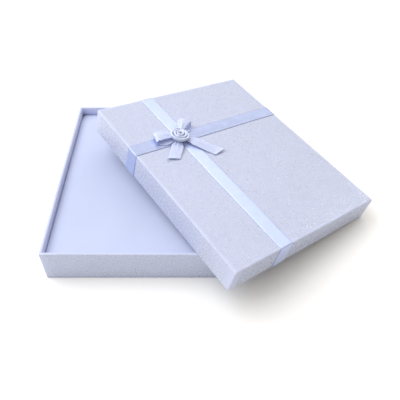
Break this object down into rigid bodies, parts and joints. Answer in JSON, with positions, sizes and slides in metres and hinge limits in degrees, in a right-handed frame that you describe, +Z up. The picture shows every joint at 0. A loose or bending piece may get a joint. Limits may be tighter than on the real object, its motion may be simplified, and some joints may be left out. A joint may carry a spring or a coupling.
{
  "type": "jewelry gift box",
  "caption": "Shallow paper-covered jewelry gift box, open: tray with velour pad, and its ribbon-tied lift-off lid leaning across the tray.",
  "frame": {"origin": "centre of the tray's flat underside", "axes": "+Z up from the table, X across the tray's width, +Y along the tray's length towards its back short wall; the lid leans out over the +X side"},
  "size_m": [0.2584, 0.2389, 0.0668],
  "materials": {
    "cover_paper": "satin",
    "lining_paper": "matte",
    "greyboard": "matte",
    "stay_tape": "matte",
    "velour": "matte",
    "foam": "matte",
    "satin": "satin",
    "glue": "satin"
  },
  "bodies": {
    "tray": {"tray_board": "greyboard", "tray_wrap": "cover_paper", "tray_lining": "lining_paper", "tray_corner_stay_1": "stay_tape", "tray_corner_stay_2": "stay_tape", "tray_corner_stay_3": "stay_tape", "tray_corner_stay_4": "stay_tape", "tray_base_paper": "cover_paper"},
    "pad": {"pad_card": "greyboard", "pad_foam": "foam", "pad_cover": "velour"},
    "lid": {"lid_board": "greyboard", "lid_wrap": "cover_paper", "lid_lining": "lining_paper", "lid_corner_stay_1": "stay_tape", "lid_corner_stay_2": "stay_tape", "lid_corner_stay_3": "stay_tape", "lid_corner_stay_4": "stay_tape", "ribbon_lengthwise": "satin", "ribbon_crosswise": "satin", "bow_glue_dot": "glue", "bow_tail_front": "satin", "bow_tail_left": "satin", "bow_loop_back": "satin", "bow_loop_left": "satin", "rose_glue_dot": "glue", "bow_rose": "satin"}
  },
  "joints": [
    {"name": "pad_lift", "type": "slide", "parent": "tray", "child": "pad", "axis": [0, 0, 1], "range_m": [0, 0.035]},
    {"name": "lid_lift", "type": "slide", "parent": "pad", "child": "lid", "axis": [0, 0, 1], "range_m": [0, 0.06]}
  ]
}
